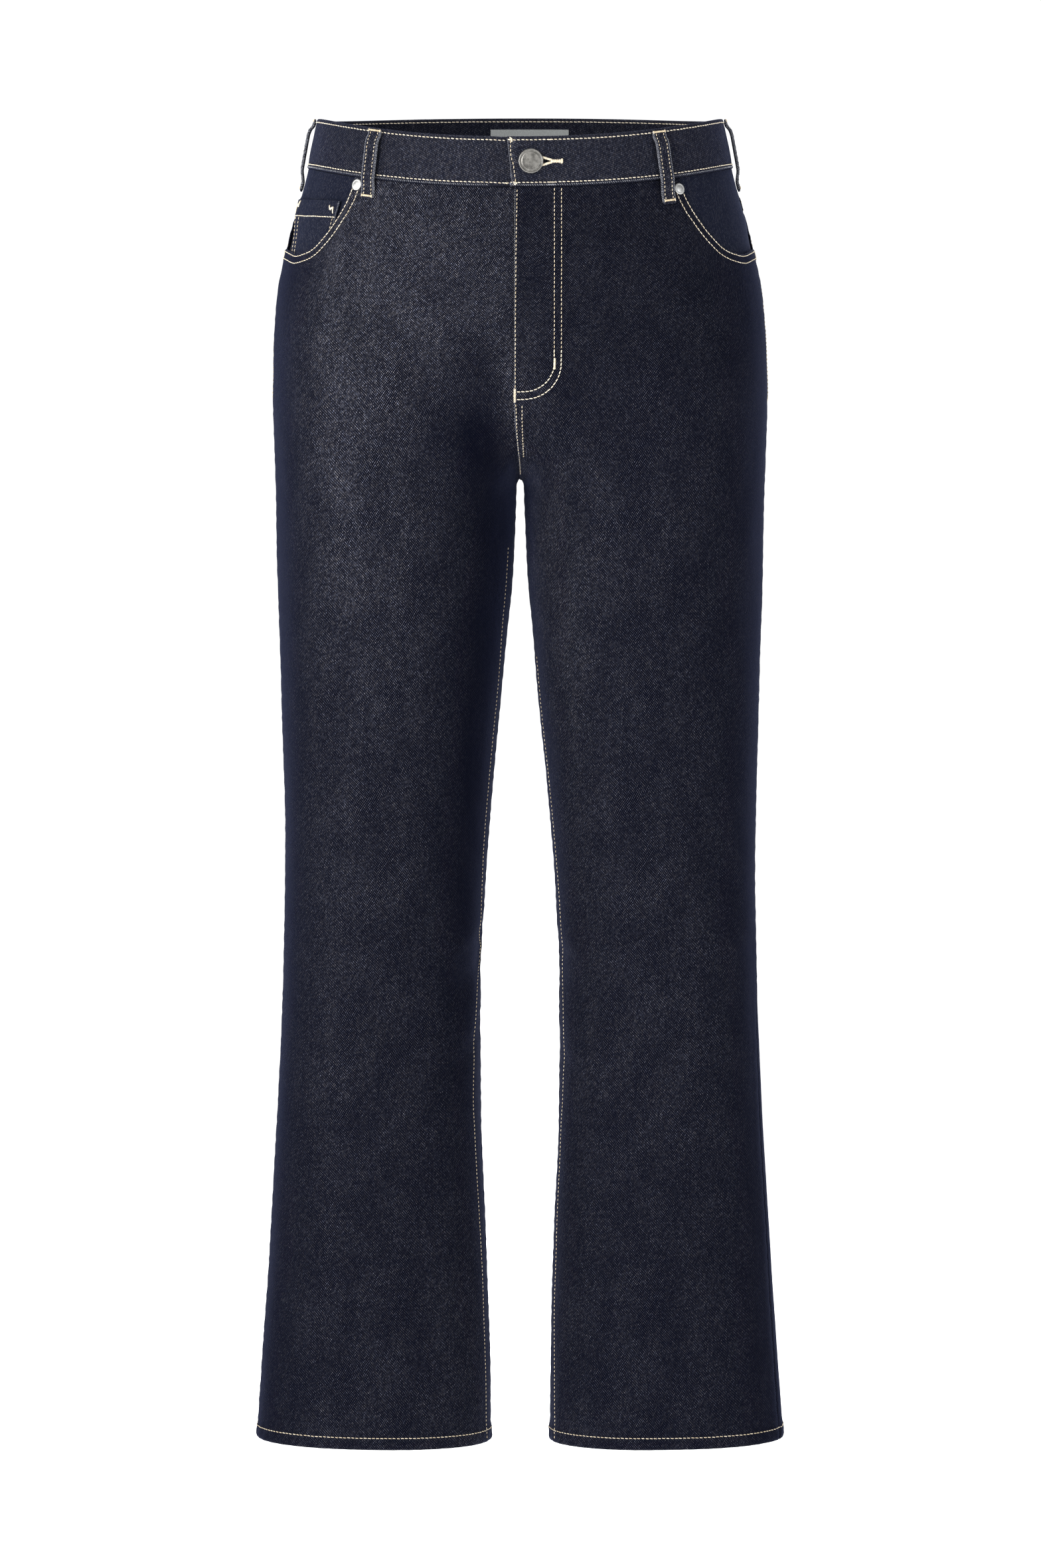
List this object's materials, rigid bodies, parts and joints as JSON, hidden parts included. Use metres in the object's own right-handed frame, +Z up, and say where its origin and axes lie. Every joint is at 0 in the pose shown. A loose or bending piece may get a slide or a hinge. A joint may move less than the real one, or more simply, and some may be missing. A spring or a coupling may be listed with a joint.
{
  "type": "straight leg jeans",
  "caption": "Full-length straight leg jeans, filled out hollow as when worn: waistband with belt loops and a button, zip fly, scoop front pockets, coin pocket, yoke and back patch pockets.",
  "frame": {"origin": "middle of the waist, level with the waistband's top edge at the side seams, where the wearer holds the jeans up", "axes": "+Z up, -Y towards the front, +X towards the wearer's left"},
  "size_m": [0.4375, 0.2869, 1.1001],
  "materials": {
    "denim": "dark indigo twill, rough",
    "denim_band": "dark indigo twill, rough",
    "denim_facing": "smooth dark indigo twill",
    "aged_steel": "antique silver",
    "zip_tape": "dark woven tape with metal teeth",
    "label_cloth": "plain grey woven label"
  },
  "bodies": {
    "root": {"front_right": "denim", "front_left": "denim", "back_right": "denim", "back_left": "denim", "yoke_right": "denim", "yoke_left": "denim", "back_pocket_right": "denim", "back_pocket_left": "denim", "pocket_facing_right": "denim_facing", "pocket_facing_left": "denim_facing", "coin_pocket": "denim_facing", "waistband": "denim_band", "belt_loop_front_right": "denim_band", "belt_loop_front_left": "denim_band", "belt_loop_side_right": "denim_band", "belt_loop_side_left": "denim_band", "belt_loop_back_right": "denim_band", "belt_loop_back_left": "denim_band", "belt_loop_back_centre": "denim_band", "zip_slider": "aged_steel", "button": "aged_steel", "rivet_right": "aged_steel", "rivet_left": "aged_steel", "zip": "zip_tape", "waist_label": "label_cloth"}
  },
  "joints": []
}
